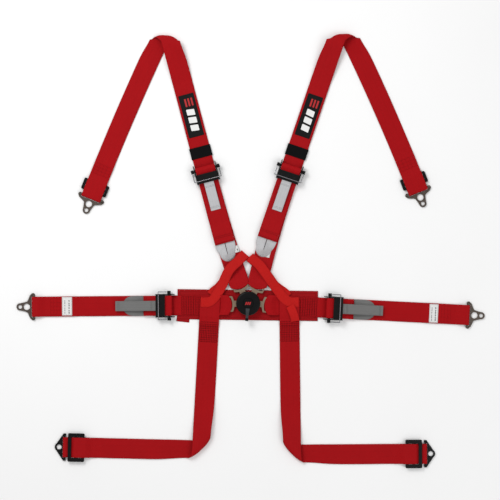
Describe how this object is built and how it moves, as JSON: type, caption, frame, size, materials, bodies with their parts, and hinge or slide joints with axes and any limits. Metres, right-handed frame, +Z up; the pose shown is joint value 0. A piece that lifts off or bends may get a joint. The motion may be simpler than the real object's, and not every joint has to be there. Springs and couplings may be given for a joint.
{
  "type": "racing harness",
  "caption": "Racing harness laid flat: rotary buckle, sliding-bar adjusters with release tabs, finger loops, leg straps and swivelling bolt-in anchor plates.",
  "frame": {"origin": "middle of the laid-out harness, on the floor", "axes": "+Z up from the floor, +Y towards the shoulder straps, +X towards the lap anchor on the viewer's right"},
  "size_m": [1.1698, 1.0878, 0.025],
  "materials": {
    "webbing": "woven polyester webbing, slightly ribbed",
    "red_ribbon": "woven ribbon",
    "grey_ribbon": "woven ribbon with reflective thread",
    "tongue_steel": "bronze-toned plated steel",
    "anchor_steel": "dark bronze-grey plated steel",
    "black_steel": "black coated steel",
    "bright_steel": "bright spring steel",
    "elastic": "black elastic",
    "black_plastic": "satin black",
    "grey_plastic": "satin grey",
    "badge": "black with a plain red mark",
    "patch": "moulded rubber patch",
    "label": "white satin label"
  },
  "bodies": {
    "harness": {"buckle_back_plate": "bright_steel", "buckle_housing": "black_plastic", "buckle_spindle": "bright_steel", "carrier_spring": "bright_steel", "lap_pad": "webbing", "tongue_shoulder_left": "tongue_steel", "tongue_shoulder_right": "tongue_steel", "tongue_lap_left": "tongue_steel", "tongue_lap_right": "tongue_steel", "shoulder_lower_strap_left": "webbing", "shoulder_lower_strap_right": "webbing", "shoulder_upper_strap_left": "webbing", "shoulder_upper_strap_right": "webbing", "shoulder_slide_left": "anchor_steel", "shoulder_slide_right": "anchor_steel", "lap_inner_strap_left": "webbing", "lap_inner_strap_right": "webbing", "lap_outer_strap_left": "webbing", "lap_outer_strap_right": "webbing", "adjuster_shoulder_left": "black_steel", "adjuster_shoulder_right": "black_steel", "adjuster_lap_left": "black_steel", "adjuster_lap_right": "black_steel", "wire_shoulder_left": "bright_steel", "wire_shoulder_right": "bright_steel", "wire_lap_left": "bright_steel", "wire_lap_right": "bright_steel", "finger_loop_shoulder_left": "grey_ribbon", "finger_loop_shoulder_right": "grey_ribbon", "finger_loop_lap_left": "grey_ribbon", "finger_loop_lap_right": "grey_ribbon", "leg_strap_left": "webbing", "leg_strap_right": "webbing", "leg_ribbon_left": "red_ribbon", "leg_ribbon_right": "red_ribbon", "leg_slide_left": "black_steel", "leg_slide_right": "black_steel", "sewn_patches": "patch", "sewn_labels": "label"},
    "knob": {"turn_knob": "black_plastic", "release_lever": "grey_plastic", "knob_badge": "badge"},
    "pin_lifter": {"lock_pin_carrier": "bright_steel", "lock_pins": "bright_steel"},
    "lock_bar_shoulder_left": {"lock_bar_shoulder_left": "black_steel"},
    "tab_shoulder_left": {"tab_shoulder_left": "grey_ribbon"},
    "lock_bar_shoulder_right": {"lock_bar_shoulder_right": "black_steel"},
    "tab_shoulder_right": {"tab_shoulder_right": "grey_ribbon"},
    "lock_bar_lap_left": {"lock_bar_lap_left": "black_steel"},
    "tab_lap_left": {"tab_lap_left": "grey_ribbon"},
    "lock_bar_lap_right": {"lock_bar_lap_right": "black_steel"},
    "tab_lap_right": {"tab_lap_right": "grey_ribbon"},
    "shoulder_anchor_left": {"shoulder_anchor_left": "anchor_steel"},
    "shoulder_anchor_right": {"shoulder_anchor_right": "anchor_steel"},
    "lap_anchor_left": {"lap_anchor_left": "anchor_steel"},
    "lap_anchor_right": {"lap_anchor_right": "anchor_steel"},
    "leg_anchor_left": {"leg_anchor_left": "black_steel"},
    "leg_anchor_right": {"leg_anchor_right": "black_steel"},
    "keeper_left": {"keeper_left": "elastic"},
    "keeper_right": {"keeper_right": "elastic"}
  },
  "joints": [
    {"name": "knob_turn", "type": "hinge", "parent": "harness", "child": "knob", "pos_m": [-0.0045, -0.133, 0.02], "axis": [0, 0, 1], "range_deg": [0, 60], "stiffness_Nm_per_rad": 0.15, "springref_deg": -17.19},
    {"name": "pins_lift", "type": "slide", "parent": "harness", "child": "pin_lifter", "axis": [0, 0, 1], "range_m": [0, 0.0045], "deforming": ["carrier_spring"]},
    {"name": "lock_bar_shoulder_left_slide", "type": "slide", "parent": "harness", "child": "lock_bar_shoulder_left", "axis": [-0.2554, 0.9668, 0], "range_m": [0, 0.002], "stiffness_N_per_m": 800, "springref_m": -0.002, "deforming": ["wire_shoulder_left"]},
    {"name": "tab_shoulder_left_lift", "type": "hinge", "parent": "harness", "child": "tab_shoulder_left", "pos_m": [-0.10358, 0.17203, 0.0142], "axis": [-0.9668, -0.2554, 0], "range_deg": [0, 40]},
    {"name": "lock_bar_shoulder_right_slide", "type": "slide", "parent": "harness", "child": "lock_bar_shoulder_right", "axis": [0.3223, 0.9466, 0], "range_m": [0, 0.002], "stiffness_N_per_m": 800, "springref_m": -0.002, "deforming": ["wire_shoulder_right"]},
    {"name": "tab_shoulder_right_lift", "type": "hinge", "parent": "harness", "child": "tab_shoulder_right", "pos_m": [0.09261, 0.17415, 0.0142], "axis": [-0.9466, 0.3223, 0], "range_deg": [0, 40]},
    {"name": "lock_bar_lap_left_slide", "type": "slide", "parent": "harness", "child": "lock_bar_lap_left", "axis": [0.9999, 0.0105, 0], "range_m": [0, 0.002], "stiffness_N_per_m": 800, "springref_m": -0.002, "deforming": ["wire_lap_left"]},
    {"name": "tab_lap_left_lift", "type": "hinge", "parent": "harness", "child": "tab_lap_left", "pos_m": [-0.2328, -0.13912, 0.0142], "axis": [-0.0105, 0.9999, 0], "range_deg": [0, 40]},
    {"name": "lock_bar_lap_right_slide", "type": "slide", "parent": "harness", "child": "lock_bar_lap_right", "axis": [-0.9987, 0.0506, 0], "range_m": [0, 0.002], "stiffness_N_per_m": 800, "springref_m": -0.002, "deforming": ["wire_lap_right"]},
    {"name": "tab_lap_right_lift", "type": "hinge", "parent": "harness", "child": "tab_lap_right", "pos_m": [0.22896, -0.14657, 0.0142], "axis": [-0.0506, -0.9987, 0], "range_deg": [0, 40]},
    {"name": "shoulder_anchor_left_swivel", "type": "hinge", "parent": "harness", "child": "shoulder_anchor_left", "pos_m": [-0.3965, 0.1313, 0.0048], "axis": [-0.9304, 0.3665, 0], "range_deg": [0, 90]},
    {"name": "shoulder_anchor_right_swivel", "type": "hinge", "parent": "harness", "child": "shoulder_anchor_right", "pos_m": [0.4195, 0.1476, 0.0048], "axis": [-0.9304, -0.3665, 0], "range_deg": [0, 90]},
    {"name": "lap_anchor_left_swivel", "type": "hinge", "parent": "harness", "child": "lap_anchor_left", "pos_m": [-0.5403, -0.1418, 0.0048], "axis": [-0.0105, 0.9999, 0], "range_deg": [0, 90]},
    {"name": "lap_anchor_right_swivel", "type": "hinge", "parent": "harness", "child": "lap_anchor_right", "pos_m": [0.5435, -0.1625, 0.0048], "axis": [-0.0506, -0.9987, 0], "range_deg": [0, 90]},
    {"name": "leg_anchor_left_swivel", "type": "hinge", "parent": "harness", "child": "leg_anchor_left", "pos_m": [-0.4634, -0.4925, 0.0043], "axis": [0.0244, 0.9997, 0], "range_deg": [0, 90]},
    {"name": "leg_anchor_right_swivel", "type": "hinge", "parent": "harness", "child": "leg_anchor_right", "pos_m": [0.4381, -0.509, 0.0043], "axis": [0.007, -1, 0], "range_deg": [0, 90]},
    {"name": "keeper_left_slide", "type": "slide", "parent": "harness", "child": "keeper_left", "axis": [-0.2554, 0.9668, 0], "range_m": [-0.006, 0.02]},
    {"name": "keeper_right_slide", "type": "slide", "parent": "harness", "child": "keeper_right", "axis": [0.3223, 0.9466, 0], "range_m": [-0.006, 0.02]}
  ],
  "couplings": [
    {"joint": "knob_turn", "follows": "pins_lift", "rad_per_m": 232.7}
  ]
}
